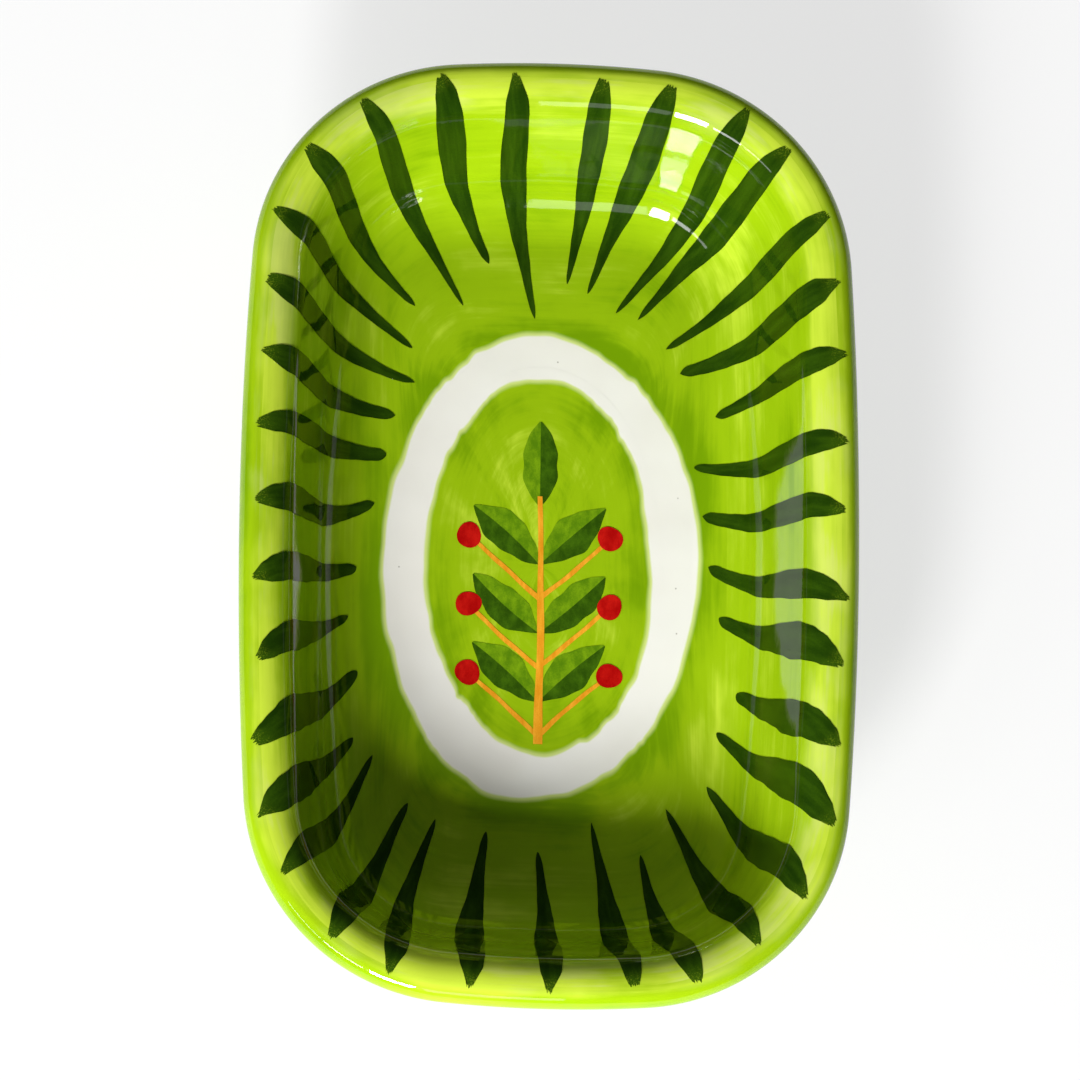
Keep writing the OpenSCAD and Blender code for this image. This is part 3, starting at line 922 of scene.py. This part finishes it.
# %% Brushed finish
BRUSH_IOR = 1.31
WASH_BELOW = (0.40, 0.56, 0.02, 1)


def brushed_finish(name, paint, light, dark, dry_run, stretch):
    """Thick colour between a light and a dark tone; dry_run is in millimetres."""
    f = Finish(name)
    streak = f.streaks(stretch)
    grain = f.noise(f.place(), scale=4200.0, detail=2.0, roughness=0.6)
    dry = 1 - (f.edge() + 2.5 * (streak - 0.5)).step(0.0, dry_run)
    tone = streak + 0.3 * (grain - 0.5) - 0.25 * dry
    colour = f.mix(tone.step(0.2, 0.7), light, dark)
    bare = dry * (grain + 0.4 * (streak - 0.5)).step(0.52, 0.66)
    f.principled(paint, Base_Color=f.mix(0.3 * bare, colour, WASH_BELOW),
                 Roughness=GLAZE_ROUGH, IOR=BRUSH_IOR, Normal=glaze_waves(f))


STROKE_STREAKS, LEAF_STREAKS, STEM_STREAKS = (0.12, 0.5, 1), (0.5, 0.3, 1), (0.9, 0.2, 1)
brushed_finish("dark_green_brushwork", strokes,
               (0.028, 0.072, 0.002, 1), (0.010, 0.034, 0.001, 1), 3.0, STROKE_STREAKS)
brushed_finish("leaf_green_brushwork", leaf_light,
               (0.20, 0.36, 0.006, 1), (0.085, 0.20, 0.003, 1), 1.0, LEAF_STREAKS)
brushed_finish("shade_green_brushwork", leaf_dark,
               (0.055, 0.14, 0.004, 1), (0.022, 0.065, 0.002, 1), 1.0, LEAF_STREAKS)
brushed_finish("red_brushwork", berries,
               (0.56, 0.010, 0.006, 1), (0.36, 0.002, 0.002, 1), 1.0, LEAF_STREAKS)
brushed_finish("ochre_brushwork", stem,
               (0.90, 0.42, 0.03, 1), (0.72, 0.27, 0.01, 1), 1.0, STEM_STREAKS)

# %% [markdown]
# ## Bare clay
# The foot ring was wiped clean of glaze so that the dish didn't stick to the kiln shelf. Fired
# earthenware is matt and slightly gritty, and a little dust has rubbed into the face that it stands on.

# %% Clay finish
CLAY_SHADE, CLAY_LIGHT = (0.66, 0.60, 0.50, 1), (0.74, 0.69, 0.60, 1)
CLAY_GRIT, CLAY_DUST = (0.50, 0.43, 0.34, 1), (0.42, 0.38, 0.33, 1)
WORN_HEIGHT = 0.7 * MM
GRIT_DEPTH = 0.08 * MM
clay_f = Finish("bare_earthenware")
grit = clay_f.noise(clay_f.place(), scale=1500.0, detail=4.0, roughness=0.6)
cloud = clay_f.noise(clay_f.place(), scale=60.0)
height = clay_f.add("ShaderNodeSeparateXYZ", {}, {0: clay_f.place()}, "Z")
worn = (1 - height.step(0.0, WORN_HEIGHT)) * cloud.step(0.4, 0.65)
clay_colour = clay_f.mix(cloud.step(0.3, 0.7), CLAY_SHADE, CLAY_LIGHT)
clay_colour = clay_f.mix(0.35 * grit.step(0.55, 0.75), clay_colour, CLAY_GRIT)
clay_f.principled(clay, Base_Color=clay_f.mix(0.5 * worn, clay_colour, CLAY_DUST),
                  Roughness=0.75 + 0.15 * grit, Normal=clay_f.bump(grit, GRIT_DEPTH))

# %% [markdown]
# ## Light, floor and camera
# The dish lies on a white ground. A window to the lower left throws a soft, low light: it leaves the
# near walls in shade, and its panes shine back from the far corner. Wide cards to the west, north and
# east fill the shade. Two of them would mirror as grey bands in the gloss, so they are hidden from
# reflections, and a small strip gives the faint arc on the near wall instead. The camera looks down from
# nearly overhead through a long lens, which keeps the outline square.

# %% Floor and world
FLOOR_HALF = 30.0
SEEN_WHITE = 0.7
FLOOR_GREY = (0.88, 0.88, 0.88, 1)
corners = [(x * FLOOR_HALF, y * FLOOR_HALF, 0) for x, y in ((-1, -1), (1, -1), (1, 1), (-1, 1))]
floor_mesh = bpy.data.meshes.new("floor")
floor_mesh.from_pydata(corners, [], [(0, 1, 2, 3)])
floor = bpy.data.objects.new("floor", floor_mesh)
bpy.context.scene.collection.objects.link(floor)
floor_f = Finish("white_floor")
path = floor_f.add("ShaderNodeLightPath", {}, {}, "Is Camera Ray")
seen = path.math("MAXIMUM", path, path.out("Is Glossy Ray"))
seen = seen.math("MAXIMUM", seen, path.out("Is Transmission Ray"))
floor_white = floor_f.add("ShaderNodeEmission", {}, {"Color": (1, 1, 1, 1), "Strength": 1.0})
floor_plain = floor_f.add("ShaderNodeBsdfDiffuse", {}, {"Color": FLOOR_GREY})
floor_shader = floor_f.add("ShaderNodeMixShader", {}, {0: SEEN_WHITE * seen, 1: floor_plain, 2: floor_white})
floor_f.put_on(floor_shader, floor)

FILL = 0.025
FILL_COLOUR = (0.95, 0.98, 1.0, 1)
world = bpy.data.worlds.new("studio")
bpy.context.scene.world = world
world.use_nodes = True
fill = world.node_tree.nodes["Background"]
fill.inputs["Color"].default_value = FILL_COLOUR
fill.inputs["Strength"].default_value = FILL

# %% Window and cards
LAMP_DISTANCE = 1.1
WINDOW_UP = 29.7
dish_middle = Vector((0, 0, RIM_Z / 2))


def lamp(name, west_of_south, up, width, height, power):
    """A rectangle of light that faces the dish, placed by its direction in degrees."""
    turn, rise = math.radians(west_of_south), math.radians(up)
    toward = Vector((-math.sin(turn) * math.cos(rise), -math.cos(turn) * math.cos(rise), math.sin(rise)))
    data = bpy.data.lights.new(name, "AREA")
    data.shape = "RECTANGLE"
    data.size, data.size_y, data.energy = width, height, power
    obj = bpy.data.objects.new(name, data)
    obj.location = dish_middle + toward * LAMP_DISTANCE
    obj.rotation_mode = "QUATERNION"
    obj.rotation_quaternion = toward.to_track_quat("Z", "Y")
    bpy.context.scene.collection.objects.link(obj)
    print(name, "gives", power, "watts")
    return obj


lamp("window_south", 2, WINDOW_UP, 0.24, 0.27, 0.8)
lamp("window_middle", 18.5, WINDOW_UP, 0.22, 0.27, 19.2)
lamp("window_west", 36, WINDOW_UP, 0.26, 0.12, 2.2)
lamp("window_far_west", 54, WINDOW_UP, 0.28, 0.08, 0.7)
card_west = lamp("card_west", 90, 20, 0.9, 0.6, 2.6)
card_north = lamp("card_north", 180, 40, 1.5, 0.25, 2.2)
lamp("strip_north", 180, 40, 0.6, 0.12, 0.16)
lamp("card_east", 270, 8, 0.9, 0.08, 0.08)
card_west.visible_glossy = False
card_north.visible_glossy = False

# %% Camera
LENS = 400.0
SENSOR = 36.0
TILT_BACK, TILT_LEFT, ROLL = math.radians(14.2), math.radians(4), math.radians(0.65)
FRAME_WIDTH = 0.1906
AIM = Vector((-0.0015, -0.0008, 0.030))
SEE_AS_FAR_AS = 100.0
eye = Vector((-math.tan(TILT_LEFT), -math.tan(TILT_BACK), 1)).normalized()
right = Vector((0, 1, 0)).cross(eye).normalized()
axes = Matrix((right, eye.cross(right), eye)).transposed() @ Matrix.Rotation(ROLL, 3, "Z")
camera_data = bpy.data.cameras.new("camera")
camera_data.sensor_width = SENSOR
camera_data.lens = LENS
camera_data.clip_end = SEE_AS_FAR_AS
camera = bpy.data.objects.new("camera", camera_data)
camera.location = AIM + eye * (FRAME_WIDTH * LENS / SENSOR)
camera.rotation_mode = "QUATERNION"
camera.rotation_quaternion = axes.to_quaternion()
bpy.context.scene.collection.objects.link(camera)
bpy.context.scene.camera = camera
bpy.context.scene.view_settings.view_transform = "Standard"
print("the camera stands", round(camera.location.z, 2), "m up")
